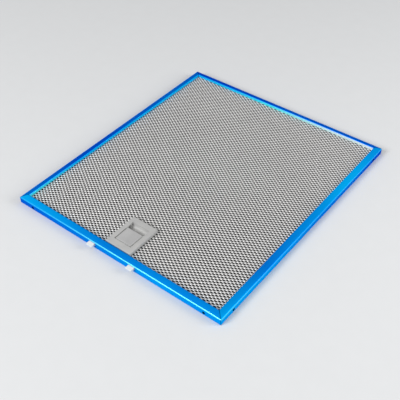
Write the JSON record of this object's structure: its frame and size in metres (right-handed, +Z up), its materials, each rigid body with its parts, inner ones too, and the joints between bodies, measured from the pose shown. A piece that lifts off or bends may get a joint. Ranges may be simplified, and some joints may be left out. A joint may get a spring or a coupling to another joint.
{
  "type": "cooker hood filter",
  "caption": "Flat metal grease filter with a mitred frame, an expanded mesh pack and a spring latch at one edge, which locks it into a cooker hood.",
  "frame": {"origin": "middle of the frame's plan, on the plane of its underside", "axes": "+Z up out of the face with the latch pad, +Y along the long bars away from the latch, +X along the short bars"},
  "size_m": [0.267, 0.3102, 0.0101],
  "materials": {
    "frame": "satin, blue",
    "bracket": "die cast",
    "inner_sheet": "bright foil",
    "face_sheet": "bright expanded sheet",
    "rear_sheet": "bright expanded sheet",
    "tray_plastic": "moulded",
    "bezel_plastic": "fine matt",
    "slider_plastic": "moulded, near white",
    "pad_plastic": "fine matt",
    "spring_steel": "bright drawn wire"
  },
  "bodies": {
    "filter": {"frame_bar_front": "frame", "frame_bar_back": "frame", "frame_bar_left": "frame", "frame_bar_right": "frame", "corner_bracket_front_left": "bracket", "corner_bracket_front_right": "bracket", "corner_bracket_back_left": "bracket", "corner_bracket_back_right": "bracket", "mesh_rear": "rear_sheet", "filter_layer_1": "inner_sheet", "filter_layer_2": "inner_sheet", "filter_layer_3": "inner_sheet", "filter_layer_4": "inner_sheet", "filter_layer_5": "inner_sheet", "filter_layer_6": "inner_sheet", "mesh_face": "face_sheet", "latch_base": "tray_plastic", "latch_bezel": "bezel_plastic", "latch_spring_left": "spring_steel", "latch_spring_right": "spring_steel"},
    "slider": {"latch_slider": "slider_plastic", "latch_pad": "pad_plastic"}
  },
  "joints": [
    {"name": "latch_slide", "type": "slide", "parent": "filter", "child": "slider", "axis": [0, 1, 0], "range_m": [0, 0.0055], "stiffness_N_per_m": 300, "springref_m": -0.008, "deforming": ["latch_spring_left", "latch_spring_right"]}
  ]
}
